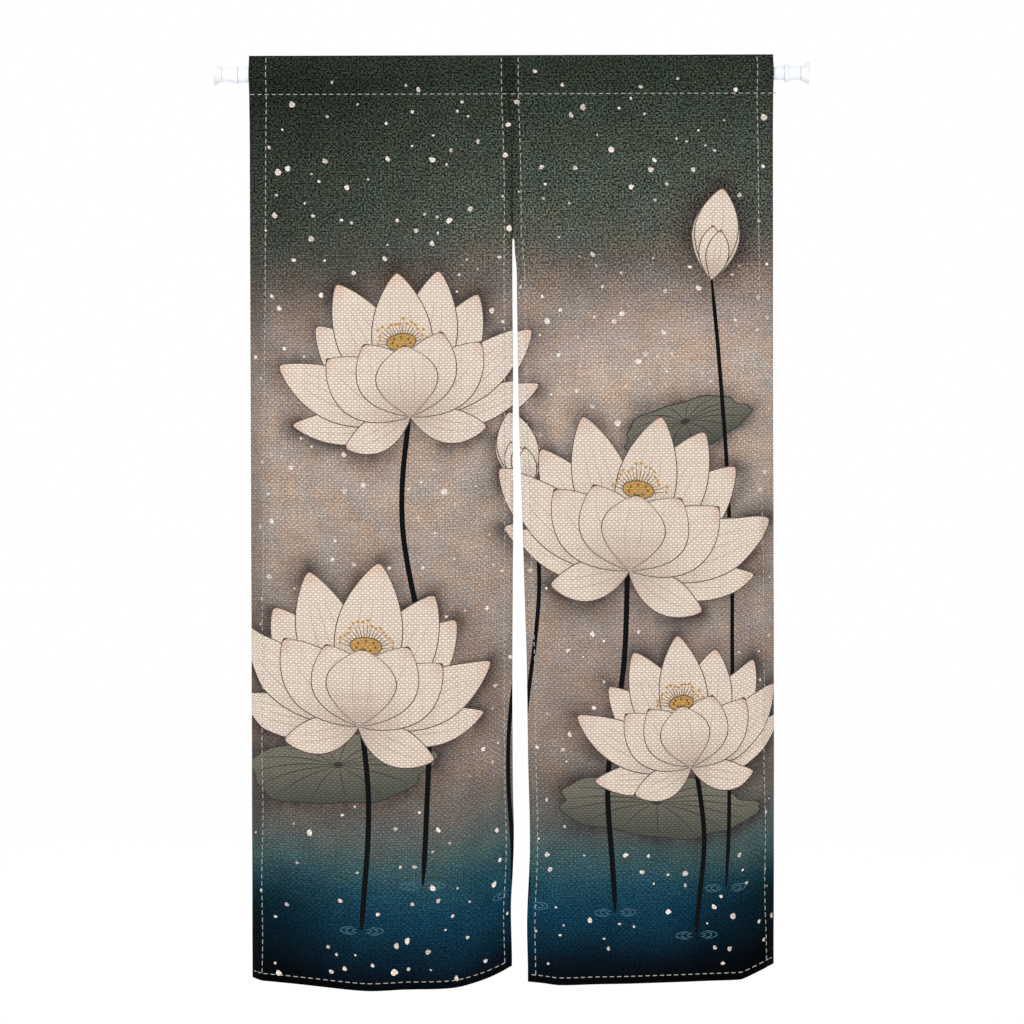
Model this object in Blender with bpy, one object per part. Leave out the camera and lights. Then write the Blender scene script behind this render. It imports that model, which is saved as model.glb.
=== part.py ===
"""A two-panel noren, the short split curtain of a doorway, hanging on a telescoping tension rod.

Each panel is one piece of cloth. Its top is folded to the back over the rod and sewn down as a
pocket, its sides and foot are hemmed, and it hangs in soft folds that grow towards the hem. The
panels meet at a sewn join above the slit and part below it.

Metres. X runs along the rod to the right, Y away from the viewer, Z up. The origin is the middle
of the rod's axis.
"""

import math

import bmesh
import bpy
from mathutils import Vector

# The cloth's driving sizes
CLOTH_WIDTH = 0.850
DROP = 1.500  # from the crease at the top to the hem
SEAM_X = 0.002  # the join of the two panels, a little right of the middle
SLIT_START = 0.297  # below the crease
THICKNESS = 0.0010
HEM_EXTRA = 0.0010  # the turned cloth of a hem, on the back
SIDE_HEM = 0.030
SLIT_HEM = 0.015
FOOT_HEM = 0.014
GAP = 0.0003  # between pieces, and between the layers of the pocket

# The rod
OUTER_TUBE_RADIUS = 0.0125
INNER_TUBE_RADIUS = 0.0110
TUBE_WALL = 0.0010
TUBE_END = 0.443  # where a tube meets its end cap
OVERLAP = 0.100  # how far each tube reaches past the middle
ROD_SIDES = 24

# The rod pocket, seen from the end of the rod
CREASE_Z = 0.031
STITCH_Z = -0.032
TURN_END_Z = -0.040  # the turned edge, just below the stitching
CREASE_RADIUS = 0.0014  # of the cloth's middle layer
ROD_STEPS = 5
CREASE_STEPS = 3

# The hem line of each panel, from its left edge to its right edge as the viewer sees it.
# back is away from the viewer, lift is above the level hem.
LEFT_HEM = (  # across, back, lift
    (0.00, 0.008, 0.0000),
    (0.08, 0.0055, -0.0028),
    (0.19, 0.002, -0.0071),
    (0.44, -0.018, -0.0155),
    (0.60, -0.0165, -0.0138),
    (0.72, -0.0105, -0.0140),
    (0.79, -0.004, -0.0120),
    (0.88, 0.012, -0.0035),
    (0.94, 0.023, 0.0055),
    (1.00, 0.036, 0.0160),
)
RIGHT_HEM = (  # across, back, lift
    (0.00, 0.010, -0.0060),
    (0.06, 0.004, -0.0075),
    (0.13, -0.004, -0.0097),
    (0.30, -0.002, -0.0084),
    (0.50, 0.003, -0.0075),
    (0.70, 0.008, -0.0055),
    (0.815, 0.0115, -0.0042),
    (0.84, 0.0125, -0.0031),
    (0.89, 0.0150, 0.0058),
    (0.94, 0.0170, 0.0147),
    (1.00, 0.0185, 0.0178),
)

# How much of the hem's fold shows at each height
LEFT_GROWTH = (  # down, share
    (0.06, 0.00),
    (0.30, 0.08),
    (0.70, 0.26),
    (1.00, 0.45),
    (1.25, 0.74),
    (1.50, 1.00),
)
RIGHT_GROWTH = (  # down, share
    (0.06, 0.00),
    (0.30, 0.12),
    (0.55, 0.42),
    (0.90, 0.72),
    (1.20, 0.92),
    (1.50, 1.00),
)

# The outer hems curl to the back, more towards the foot
CURL_WIDTH = 0.030
CURL_FORM = 1.1
LEFT_CURL = 0.0215
RIGHT_CURL = 0.0210
CURL_GROWTH = (  # down, share
    (0.063, 0.00),
    (0.12, 0.32),
    (0.22, 0.46),
    (0.41, 0.61),
    (0.61, 0.78),
    (0.80, 0.82),
    (1.00, 0.89),
    (1.20, 0.93),
    (1.50, 1.00),
)

# How far each edge of a panel has swayed to the right. Both panels lean along the sewn join.
LEFT_OUTER_SWAY = (  # down, sway
    (0.06, -0.0004),
    (0.50, -0.0009),
    (1.00, -0.0012),
    (1.50, -0.0017),
)
JOIN_SWAY = (  # down, sway
    (0.063, -0.0044),
    (0.120, -0.0022),
    (0.200, -0.0004),
    (0.297, 0.0000),
)
LEFT_SLIT_SWAY = (  # down, sway
    (0.297, 0.0000),
    (0.300, -0.0007),
    (0.40, -0.0009),
    (0.52, -0.0002),
    (0.62, -0.0012),
    (0.72, -0.0005),
    (0.85, -0.0016),
    (1.01, -0.0028),
    (1.20, -0.0026),
    (1.28, -0.0012),
    (1.34, -0.0030),
    (1.40, -0.0063),
    (1.50, -0.0050),
)
RIGHT_SLIT_SWAY = (  # down, sway
    (0.297, 0.0000),
    (0.300, 0.0022),
    (0.318, 0.0027),
    (0.345, 0.0056),
    (0.396, 0.0062),
    (0.590, 0.0090),
    (0.720, 0.0131),
    (0.880, 0.0174),
    (0.980, 0.0203),
    (1.140, 0.0222),
    (1.280, 0.0246),
    (1.400, 0.0196),
    (1.500, 0.0206),
)
RIGHT_OUTER_SWAY = (  # down, sway
    (0.06, 0.0002),
    (0.50, 0.0005),
    (1.00, 0.0014),
    (1.25, 0.0012),
    (1.50, 0.0004),
)

ROWS_DOWN = 30  # of the hanging cloth
SLIT_ROWS = (0.0, 0.003, 0.021, 0.048)  # more rows, below the slit's start
PLAIN_COLUMNS = 15
HEM_STEP = 0.0015  # the ramp from plain cloth to hem
CLEAR_OF_STEP = 0.3  # of a plain column: none lies nearer a hem's step
NARROWEST = 0.3  # share of a column's width that still faces the viewer in a fold

# The end fittings, turned about the rod. along is the distance from the rod's middle.
COLLAR_RADIUS = 0.0145
COLLAR_END = 0.4480
SPIGOT_START = 0.423
CAP_PROFILE = (  # along, radius, outside the tube
    (COLLAR_END, 0.0130),
    (0.4590, 0.0112),
    (0.4650, 0.0108),
    (0.4690, 0.0118),
)
BOSS_RADIUS = 0.0080
BOSS_END = 0.4760
PAD_PROFILE = (  # along, radius
    (0.4693, 0.0122),
    (0.4725, 0.0130),
    (0.4765, 0.0150),
    (0.4800, 0.0168),
    (0.4822, 0.0170),
    (0.4835, 0.0158),
)

COLOURS = {  # linear red, green, blue; roughness; metallic
    "cloth": ((0.20, 0.19, 0.17), 0.9, 0.0),
    "rod": ((0.86, 0.87, 0.88), 0.35, 0.0),
    "cap": ((0.84, 0.85, 0.86), 0.4, 0.0),
    "pad": ((0.70, 0.71, 0.70), 0.7, 0.0),
}


def clear_scene():
    for obj in list(bpy.data.objects):
        bpy.data.objects.remove(obj)


def material(name):
    colour, roughness, metallic = COLOURS[name]
    made = bpy.data.materials.get(name) or bpy.data.materials.new(name)
    made.use_nodes = True
    shader = made.node_tree.nodes["Principled BSDF"]
    shader.inputs["Base Color"].default_value = (*colour, 1.0)
    shader.inputs["Roughness"].default_value = roughness
    shader.inputs["Metallic"].default_value = metallic
    made.diffuse_color = (*colour, 1.0)
    return made


def read_row(rows, at, column=1):
    """A smooth value between a table's rows, level at both ends."""
    if at <= rows[0][0]:
        return rows[0][column]
    if at >= rows[-1][0]:
        return rows[-1][column]
    last = len(rows) - 1
    i = max(k for k in range(last) if rows[k][0] <= at)

    def slope(k):
        if k in (0, last):
            k = 1 if k == 0 else last - 1
        below, above = rows[k - 1], rows[k + 1]
        return (above[column] - below[column]) / (above[0] - below[0])

    low, high = rows[i], rows[i + 1]
    span = high[0] - low[0]
    t = (at - low[0]) / span
    return (
        low[column] * (2 * t**3 - 3 * t**2 + 1)
        + slope(i) * span * (t**3 - 2 * t**2 + t)
        + high[column] * (3 * t**2 - 2 * t**3)
        + slope(i + 1) * span * (t**3 - t**2)
    )


class Panel:
    """One panel of cloth: where its middle layer lies, and how thick it is there."""

    def __init__(self, name, left, right, hem, growth, left_sways, right_sways, hems, curls):
        self.name = name
        self.left, self.right = left, right
        self.left_curl, self.right_curl = curls
        self.hem, self.growth = hem, growth
        self.left_sways, self.right_sways = left_sways, right_sways
        self.left_hem, self.right_hem = hems

    @property
    def width(self):
        return self.right - self.left

    def columns(self):
        """Places across, from 0 to 1, with the two sides of each hem's step."""
        places = [i / PLAIN_COLUMNS for i in range(PLAIN_COLUMNS + 1)]
        steps = [
            self.left_hem / self.width,
            (self.left_hem + HEM_STEP) / self.width,
            1 - (self.right_hem + HEM_STEP) / self.width,
            1 - self.right_hem / self.width,
        ]
        bend = CURL_WIDTH / 3 / self.width
        steps.append(bend if self.left_curl else 1 - bend)
        near = CLEAR_OF_STEP / PLAIN_COLUMNS
        kept = [p for p in places if min(abs(p - s) for s in steps) > near]
        return sorted(kept + steps)

    def back_at(self, across, down):
        fold = read_row(self.growth, down) * read_row(self.hem, across, 1)
        return fold + read_row(CURL_GROWTH, down) * self.curl_at(across)

    def curl_at(self, across):
        """The curl of the outer hem at the foot."""
        curl = 0.0
        for size, share in ((self.left_curl, across), (self.right_curl, 1 - across)):
            inside = max(0.0, 1 - share * self.width / CURL_WIDTH)
            curl += size * inside**CURL_FORM
        return curl

    def lift_at(self, across, down):
        share = max(0.0, (down - SLIT_START) / (DROP - SLIT_START))
        return share * read_row(self.hem, across, 2)

    def x_at(self, columns, down):
        """Where each column lies, closer together where the cloth turns away from the viewer."""
        left = self.left + sum(read_row(table, down) for table in self.left_sways)
        right = self.right + sum(read_row(table, down) for table in self.right_sways)
        backs = [self.back_at(c, down) for c in columns]
        steps = []
        for i in range(len(columns) - 1):
            along = (columns[i + 1] - columns[i]) * self.width
            away = backs[i + 1] - backs[i]
            steps.append(math.sqrt(max(along**2 - away**2, (NARROWEST * along) ** 2)))
        share = (right - left) / sum(steps)
        places = [left]
        for step in steps:
            places.append(places[-1] + step * share)
        return places

    def extra_at(self, across, down):
        """The turned cloth of the hems, on the back of the hanging cloth."""
        from_left = across * self.width
        from_right = self.width - from_left
        nearest = min(
            from_left - self.left_hem,
            from_right - self.right_hem,
            DROP - down - FOOT_HEM,
        )
        below_pocket = CREASE_Z - TURN_END_Z + HEM_STEP
        if down < below_pocket or nearest > HEM_STEP / 2:
            return 0.0
        return HEM_EXTRA


def pocket_path():
    """The middle layer of the pocket and which way is out, as (y, z) pairs, from the turned edge
    up the back, over the crease and down the front to the stitching."""
    around_rod = OUTER_TUBE_RADIUS + GAP + THICKNESS / 2
    crease_middle = CREASE_Z - THICKNESS / 2 - CREASE_RADIUS
    upper = math.asin((around_rod - CREASE_RADIUS) / crease_middle)
    lower = math.asin(around_rod / -STITCH_Z)
    tail_y = GAP + THICKNESS / 2

    side = []
    for i in range(ROD_STEPS + 1):
        angle = -lower + (upper + lower) * i / ROD_STEPS
        out = Vector((math.cos(angle), math.sin(angle)))
        side.append((around_rod * out, out))
    for i in range(CREASE_STEPS):
        angle = upper + (math.pi / 2 - upper) * i / CREASE_STEPS
        out = Vector((math.cos(angle), math.sin(angle)))
        side.append((Vector((0, crease_middle)) + CREASE_RADIUS * out, out))

    tail = Vector((tail_y, TURN_END_Z))
    sewn = Vector((tail_y, STITCH_Z))
    backwards = Vector((1.0, 0.0))
    leaning = Vector((math.cos(lower / 2), -math.sin(lower / 2)))
    path = [(tail, backwards), (sewn, leaning)]
    path += side
    path.append((Vector((0, CREASE_Z - THICKNESS / 2)), Vector((0.0, 1.0))))
    mirror = Vector((-1.0, 1.0))
    path += [(p * mirror, n * mirror) for p, n in reversed(side)]
    path.append((Vector((-THICKNESS / 2, STITCH_Z)), leaning * mirror))
    return path


def hanging_rows():
    """Distances below the crease, from just under the stitching to the hem, closer at the foot."""
    start = CREASE_Z - STITCH_Z
    rows = [CREASE_Z - TURN_END_Z]
    rows += [start + (DROP - start) * i / ROWS_DOWN for i in range(1, ROWS_DOWN)]
    rows = [row for row in rows if not SLIT_START <= row <= SLIT_START + SLIT_ROWS[-1]]
    rows += [SLIT_START + below for below in SLIT_ROWS]
    rows += [DROP - FOOT_HEM - HEM_STEP, DROP - FOOT_HEM, DROP]
    return sorted(rows)


def hanging_middle(panel, columns):
    """A grid of the hanging cloth's middle layer, from the stitching down."""
    grid = []
    for down in hanging_rows():
        xs = panel.x_at(columns, down)
        grid.append(
            [
                Vector(
                    (
                        x,
                        -THICKNESS / 2 + panel.back_at(across, down),
                        CREASE_Z - down + panel.lift_at(across, down),
                    )
                )
                for x, across in zip(xs, columns)
            ]
        )
    return grid


def backward_normal(grid, row, column):
    """Away from the viewer, square to the cloth."""
    above, below = grid[max(row - 1, 0)], grid[min(row + 1, len(grid) - 1)]
    before = grid[row][max(column - 1, 0)]
    after = grid[row][min(column + 1, len(grid[row]) - 1)]
    normal = (below[column] - above[column]).cross(after - before).normalized()
    return normal if normal.y > 0 else -normal


def build_panel(panel):
    """Skins the cloth: each rung has one point on each face of it, and rungs run from the
    turned edge behind the pocket to the hem."""
    columns = panel.columns()
    mesh = bmesh.new()
    printed, plain = [], []
    top_xs = panel.x_at(columns, 0)
    for middle, out in pocket_path():
        rows = []
        for side in (1, -1):
            y, z = middle + out * side * THICKNESS / 2
            rows.append([mesh.verts.new((x, y, z)) for x in top_xs])
        printed.append(rows[0])
        plain.append(rows[1])

    grid = hanging_middle(panel, columns)
    for r, down in enumerate(hanging_rows()):
        front, back = [], []
        for c, across in enumerate(columns):
            normal = backward_normal(grid, r, c)
            extra = panel.extra_at(across, down)
            front.append(mesh.verts.new(grid[r][c] - normal * THICKNESS / 2))
            back.append(mesh.verts.new(grid[r][c] + normal * (THICKNESS / 2 + extra)))
        printed.append(front)
        plain.append(back)

    last_rung, last_column = len(printed) - 1, len(columns) - 1
    for r in range(last_rung):
        for c in range(last_column):
            for side in (printed, plain):
                a, b = side[r], side[r + 1]
                mesh.faces.new((a[c], a[c + 1], b[c + 1], b[c]))
        for c in (0, last_column):
            mesh.faces.new((printed[r][c], printed[r + 1][c], plain[r + 1][c], plain[r][c]))
    for r in (0, last_rung):
        for c in range(last_column):
            a, b = printed[r], plain[r]
            mesh.faces.new((a[c], a[c + 1], b[c + 1], b[c]))
    finish_mesh(mesh, panel.name, "cloth", sharp_angle=math.radians(40))


def turned_rings(mesh, profile):
    """One ring of points about the rod's axis for each (along, radius) of the profile."""
    rings = []
    for along, radius in profile:
        ring = []
        for i in range(ROD_SIDES):
            angle = 2 * math.pi * i / ROD_SIDES
            place = (along, radius * math.cos(angle), radius * math.sin(angle))
            ring.append(mesh.verts.new(place))
        rings.append(ring)
    return rings


def join_rings(mesh, first, second):
    for i in range(ROD_SIDES):
        j = (i + 1) % ROD_SIDES
        mesh.faces.new((first[i], first[j], second[j], second[i]))


def build_turned(name, profile, colour, ring_shaped=False):
    """A body turned about the rod. A ring-shaped one has a bore along its whole length."""
    mesh = bmesh.new()
    rings = turned_rings(mesh, profile)
    for first, second in zip(rings, rings[1:]):
        join_rings(mesh, first, second)
    if ring_shaped:
        join_rings(mesh, rings[-1], rings[0])
    else:
        mesh.faces.new(rings[0])
        mesh.faces.new(rings[-1])
    finish_mesh(mesh, name, colour, sharp_angle=math.radians(35))


def finish_mesh(mesh, name, colour, sharp_angle):
    bmesh.ops.recalc_face_normals(mesh, faces=mesh.faces)
    data = bpy.data.meshes.new(name)
    mesh.to_mesh(data)
    mesh.free()
    data.materials.append(material(colour))
    data.shade_smooth()
    data.set_sharp_from_angle(angle=sharp_angle)
    bpy.context.scene.collection.objects.link(bpy.data.objects.new(name, data))


def tube_profile(start, end, radius):
    bore = radius - TUBE_WALL
    return ((start, radius), (end, radius), (end, bore), (start, bore))


def cap_profile(side, tube_radius):
    """A plug in the tube's mouth, a collar against its end, a waisted neck and a boss."""
    plug = tube_radius - TUBE_WALL - GAP
    collar_start = TUBE_END + GAP
    profile = (
        (SPIGOT_START, plug),
        (collar_start, plug),
        (collar_start, COLLAR_RADIUS),
        (COLLAR_END, COLLAR_RADIUS),
        *CAP_PROFILE,
        (CAP_PROFILE[-1][0], BOSS_RADIUS),
        (BOSS_END, BOSS_RADIUS),
    )
    return tuple((side * along, radius) for along, radius in profile)


def pad_profile(side):
    """A flared rubber foot whose socket takes the cap's boss."""
    socket = BOSS_RADIUS + GAP
    start = PAD_PROFILE[0][0]
    profile = ((BOSS_END + GAP, socket), (start, socket), *PAD_PROFILE)
    return tuple((side * along, radius) for along, radius in profile)


def build_rod():
    outer = tube_profile(-TUBE_END, OVERLAP, OUTER_TUBE_RADIUS)
    build_turned("rod_outer_tube", outer, "rod", ring_shaped=True)
    inner = tube_profile(-OVERLAP, TUBE_END, INNER_TUBE_RADIUS)
    build_turned("rod_inner_tube", inner, "rod", ring_shaped=True)
    for name, side, radius in (
        ("left", -1, OUTER_TUBE_RADIUS),
        ("right", 1, INNER_TUBE_RADIUS),
    ):
        build_turned(f"{name}_end_cap", cap_profile(side, radius), "cap")
        build_turned(f"{name}_foot_pad", pad_profile(side), "pad")


def main():
    clear_scene()
    build_rod()
    half = CLOTH_WIDTH / 2
    build_panel(
        Panel(
            "left_panel",
            -half,
            SEAM_X - GAP / 2,
            LEFT_HEM,
            LEFT_GROWTH,
            (LEFT_OUTER_SWAY,),
            (JOIN_SWAY, LEFT_SLIT_SWAY),
            (SIDE_HEM, SLIT_HEM),
            (LEFT_CURL, 0),
        )
    )
    build_panel(
        Panel(
            "right_panel",
            SEAM_X + GAP / 2,
            half,
            RIGHT_HEM,
            RIGHT_GROWTH,
            (JOIN_SWAY, RIGHT_SLIT_SWAY),
            (RIGHT_OUTER_SWAY,),
            (SLIT_HEM, SIDE_HEM),
            (0, RIGHT_CURL),
        )
    )


main()
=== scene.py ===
"""Dresses the noren: printed, woven and stitched cloth, an enamelled rod, floor, light and camera.

Metres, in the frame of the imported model: X along the rod to the right, Y away from the viewer,
Z up, with the origin at the middle of the rod's axis. Places on the cloth are flat: across is
measured from the left edge of the whole curtain and down from the crease at its top.
"""

import math
import random

import bmesh
import bpy
import numpy as np
from mathutils import Matrix, Vector
from mathutils.geometry import delaunay_2d_cdt
from mathutils.kdtree import KDTree


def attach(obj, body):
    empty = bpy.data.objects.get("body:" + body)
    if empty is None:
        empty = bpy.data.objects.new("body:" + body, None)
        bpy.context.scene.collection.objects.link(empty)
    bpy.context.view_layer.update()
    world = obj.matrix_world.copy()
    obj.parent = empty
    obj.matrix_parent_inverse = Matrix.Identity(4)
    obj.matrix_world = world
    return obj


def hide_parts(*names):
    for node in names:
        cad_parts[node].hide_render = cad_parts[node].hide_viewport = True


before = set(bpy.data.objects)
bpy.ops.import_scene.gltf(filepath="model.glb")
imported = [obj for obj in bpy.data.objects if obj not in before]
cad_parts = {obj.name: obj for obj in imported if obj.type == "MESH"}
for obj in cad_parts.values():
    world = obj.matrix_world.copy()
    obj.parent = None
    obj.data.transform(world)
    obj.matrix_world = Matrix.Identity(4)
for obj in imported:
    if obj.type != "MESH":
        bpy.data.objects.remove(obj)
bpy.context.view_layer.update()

# The cloth, as it is cut and hung in the solids
CLOTH_WIDTH = 0.850
DROP = 1.500
SEAM_X = 0.002
SLIT_START = 0.297
THICKNESS = 0.0010
HEM_EXTRA = 0.0010
SIDE_HEM = 0.030
SLIT_HEM = 0.015
FOOT_HEM = 0.014
HEM_STEP = 0.0015  # the ramp from plain cloth to hem
GAP = 0.0003  # between neighbouring solids
SEAM_CLOSE = 0.00017  # a little over half the gap
SEAM_REACH = 0.003  # how far from the join the seam draws the cloth
SEAM_END = 0.002  # the seam lets go this far above and below the slit's start
SLIT_MOUTH = 0.003  # the slit opens over this depth
VALLEY_DEPTH = 0.0005  # of the valley along the sewn join
VALLEY_REACH = 0.004

# The rod pocket
CREASE_Z = 0.031
STITCH_Z = -0.032
TURN_END_Z = -0.040
CREASE_RADIUS = 0.0014
STITCH_DOWN = CREASE_Z - STITCH_Z
TURN_END = -(CREASE_Z - TURN_END_Z)  # places on the back of the pocket are below nought
PAST_STITCHING = 0.02  # the pocket's section ends this far below its stitching
SECTION_STEPS = 640
SECTION_BLUR = 9  # of those steps

# The rod
OUTER_TUBE_RADIUS = 0.0125
INNER_TUBE_RADIUS = 0.0110
TUBE_WALL = 0.0010
TUBE_END = 0.443
OVERLAP = 0.100
ROD_END = 0.4835

# The end fittings, turned about the rod. along is the distance from the rod's middle.
COLLAR_RADIUS = 0.0145
COLLAR_END = 0.4480
SPIGOT_START = 0.423
CAP_PROFILE = (  # along, radius, outside the tube
    (0.4482, 0.0131),
    (0.4590, 0.0112),
    (0.4650, 0.0108),
    (0.4690, 0.0118),
)
BOSS_RADIUS = 0.0080
BOSS_END = 0.4760
PAD_PROFILE = (  # along, radius
    (0.4693, 0.0122),
    (0.4725, 0.0130),
    (0.4765, 0.0150),
    (0.4800, 0.0168),
    (0.4822, 0.0170),
    (ROD_END, 0.0158),
)
END_FACE = 0.0020  # radius of the flat face that closes a turned body
TUBE_ROUNDING = 0.0003
CAP_ROUNDING = 0.0007
PAD_ROUNDING = 0.0008
ROUNDING_STEPS = 4
TURNED_SIDES = 96
SHARP_EDGE = math.radians(38)  # turned bodies are shaded smooth up to this angle

# The hem line of each panel, from its left edge to its right edge as the viewer sees it
LEFT_HEM = (  # across, back, lift
    (0.00, 0.008, 0.0000),
    (0.08, 0.0055, -0.0028),
    (0.19, 0.002, -0.0071),
    (0.44, -0.018, -0.0155),
    (0.60, -0.0165, -0.0138),
    (0.72, -0.0105, -0.0140),
    (0.79, -0.004, -0.0120),
    (0.88, 0.012, -0.0035),
    (0.94, 0.023, 0.0055),
    (1.00, 0.036, 0.0160),
)
RIGHT_HEM = (  # across, back, lift
    (0.00, 0.010, -0.0060),
    (0.06, 0.004, -0.0075),
    (0.13, -0.004, -0.0097),
    (0.30, -0.002, -0.0084),
    (0.50, 0.003, -0.0075),
    (0.70, 0.008, -0.0055),
    (0.815, 0.0115, -0.0042),
    (0.84, 0.0125, -0.0031),
    (0.89, 0.0150, 0.0058),
    (0.94, 0.0170, 0.0147),
    (1.00, 0.0185, 0.0178),
)
LEFT_GROWTH = (  # down, share of the hem's fold
    (0.06, 0.00),
    (0.30, 0.08),
    (0.70, 0.26),
    (1.00, 0.45),
    (1.25, 0.74),
    (1.50, 1.00),
)
RIGHT_GROWTH = (
    (0.06, 0.00),
    (0.30, 0.12),
    (0.55, 0.42),
    (0.90, 0.72),
    (1.20, 0.92),
    (1.50, 1.00),
)
# The outer hems curl to the back, more towards the foot
CURL_WIDTH = 0.030
CURL_FORM = 1.1
LEFT_CURL = 0.0215
RIGHT_CURL = 0.0210
CURL_GROWTH = (  # down, share
    (0.063, 0.00),
    (0.12, 0.32),
    (0.22, 0.46),
    (0.41, 0.61),
    (0.61, 0.78),
    (0.80, 0.82),
    (1.00, 0.89),
    (1.20, 0.93),
    (1.50, 1.00),
)

# Soft ripples over the folds, and what keeps the cloth's width in them
FOLDS_BEGIN = 0.03  # over this depth below the stitching
WAVE_DEPTH = 0.0009
FLUTTER_DEPTH = 0.0012  # at a panel's edges
FLUTTER_REACH = 0.06  # share of a panel's width
NARROWEST = 0.3  # share of a column's width that still faces the viewer in a fold
GRID_TOP = 0.05  # the edges' sways start here

# How far each edge of a panel has swayed to the right. Both panels lean along the sewn join.
LEFT_OUTER_SWAY = (  # down, sway
    (0.06, -0.0004),
    (0.50, -0.0009),
    (1.00, -0.0012),
    (1.50, -0.0017),
)
JOIN_SWAY = (  # down, sway
    (0.063, -0.0044),
    (0.120, -0.0022),
    (0.200, -0.0004),
    (0.297, 0.0000),
)
LEFT_SLIT_SWAY = (  # down, sway
    (0.297, 0.0000),
    (0.300, -0.0007),
    (0.40, -0.0009),
    (0.52, -0.0002),
    (0.62, -0.0012),
    (0.72, -0.0005),
    (0.85, -0.0016),
    (1.01, -0.0028),
    (1.20, -0.0026),
    (1.28, -0.0012),
    (1.34, -0.0030),
    (1.40, -0.0063),
    (1.50, -0.0050),
)
RIGHT_SLIT_SWAY = (  # down, sway
    (0.297, 0.0000),
    (0.300, 0.0022),
    (0.318, 0.0027),
    (0.345, 0.0056),
    (0.396, 0.0062),
    (0.590, 0.0090),
    (0.720, 0.0131),
    (0.880, 0.0174),
    (0.980, 0.0203),
    (1.140, 0.0222),
    (1.280, 0.0246),
    (1.400, 0.0196),
    (1.500, 0.0206),
)
RIGHT_OUTER_SWAY = (  # down, sway
    (0.06, 0.0002),
    (0.50, 0.0005),
    (1.00, 0.0014),
    (1.25, 0.0012),
    (1.50, 0.0004),
)

# Colours of the cloth apart from its print, from 0 to 255 as on a screen
SMOKE = (60, 50, 48)
BARE_CLOTH = (196, 190, 178)

# The weave: one over-and-under of the yarns, across and down
WARP_PITCH = 0.0044
WEFT_PITCH = 0.0041

# The cloth's mesh
GRID_STEP = 0.0075
LINE_STEP = 0.0045  # along a printed outline
CLEAR_OF_LINES = 0.0026  # no grid point lies nearer an outline
CREASE_BAND = 0.0045  # close rows on both sides of the crease
CREASE_EDGE = 0.006
POCKET_FOOT = STITCH_DOWN + 0.006
CLEAR_OF_HEM = 0.006

# The camera, from the photograph's framing
PHOTO_PIXELS = 1024
METRES_PER_PIXEL = 0.0016234
OBJECT_PIXEL = (512.5, 517.0)  # where the middle of the cloth's width and drop shows
CAMERA_DISTANCE = 4.5
CAMERA_ROLL = math.radians(0.17)
SENSOR = 36.0

# The floor and the light
FLOOR_Z = -1.95  # the rod hangs at the head of a doorway
FLOOR_REACH = 12.0
LAMPS = (  # name, place, size, watts
    ("key", (-2.2, -2.8, 1.2), 2.2, 60.0),
    ("fill", (2.6, -2.4, -0.2), 2.4, 18.0),
)
LIT_PLACE = (0, 0, -0.72)


def from_srgb(colour):
    """Linear colour from the 0 to 255 of a screen."""
    made = []
    for value in colour:
        c = value / 255
        made.append(c / 12.92 if c <= 0.04045 else ((c + 0.055) / 1.055) ** 2.4)
    return tuple(made)


def read_row(rows, at, column=1):
    """Smooth values between a table's rows, and its end values beyond them."""
    keys = np.array([row[0] for row in rows])
    values = np.array([row[column] for row in rows])
    inner = (values[2:] - values[:-2]) / (keys[2:] - keys[:-2])
    slopes = np.concatenate((inner[:1], inner, inner[-1:]))
    at = np.clip(at, keys[0], keys[-1])
    i = np.clip(np.searchsorted(keys, at, side="right") - 1, 0, len(keys) - 2)
    span = keys[i + 1] - keys[i]
    t = (at - keys[i]) / span
    return (
        values[i] * (2 * t**3 - 3 * t**2 + 1)
        + slopes[i] * span * (t**3 - 2 * t**2 + t)
        + values[i + 1] * (3 * t**2 - 2 * t**3)
        + slopes[i + 1] * span * (t**3 - t**2)
    )


def ramp(at, low, high):
    """0 before low and 1 after high, smooth between."""
    t = np.clip((at - low) / (high - low), 0, 1)
    return t * t * (3 - 2 * t)


def length_along(path):
    """How far along a path each of its points lies."""
    return np.concatenate(([0], np.cumsum(np.hypot(*np.diff(path, axis=0).T))))


def pocket_section():
    """The section of the pocket and the first of the hanging cloth: down, y and z, from the
    turned edge on the back, over the crease, to below the stitching."""
    around_rod = OUTER_TUBE_RADIUS + GAP + THICKNESS / 2
    crease_middle = CREASE_Z - THICKNESS / 2 - CREASE_RADIUS
    upper = math.asin((around_rod - CREASE_RADIUS) / crease_middle)
    lower = math.asin(around_rod / -STITCH_Z)

    side = []
    for angle in np.linspace(-lower, upper, 24):
        side.append((around_rod * math.cos(angle), around_rod * math.sin(angle)))
    for angle in np.linspace(upper, math.pi / 2, 12):
        height = crease_middle + CREASE_RADIUS * math.sin(angle)
        side.append((CREASE_RADIUS * math.cos(angle), height))
    tail_y = GAP + THICKNESS / 2
    back = [(tail_y, TURN_END_Z), (tail_y, STITCH_Z), *side]
    front = [(-THICKNESS / 2, STITCH_Z), *((-y, z) for y, z in side)]

    def measured(path, first, last):
        along = length_along(path)
        return first + (last - first) * along / along[-1], np.array(path)

    back_down, back_path = measured(back, TURN_END, 0.0)
    front_down, front_path = measured(front, STITCH_DOWN, 0.0)
    end_down = STITCH_DOWN + PAST_STITCHING
    end = (-THICKNESS / 2, STITCH_Z - PAST_STITCHING)
    down = np.concatenate((back_down, front_down[::-1][1:], [end_down]))
    path = np.concatenate((back_path, front_path[::-1][1:], [end]))

    fine = np.linspace(TURN_END, end_down, SECTION_STEPS)
    kernel = np.hanning(SECTION_BLUR)
    kernel /= kernel.sum()

    def softened(values):
        values = np.interp(fine, down, values)
        padded = np.pad(values, SECTION_BLUR // 2, mode="reflect", reflect_type="odd")
        return np.convolve(padded, kernel, "valid")

    return fine, softened(path[:, 0]), softened(path[:, 1])


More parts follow.
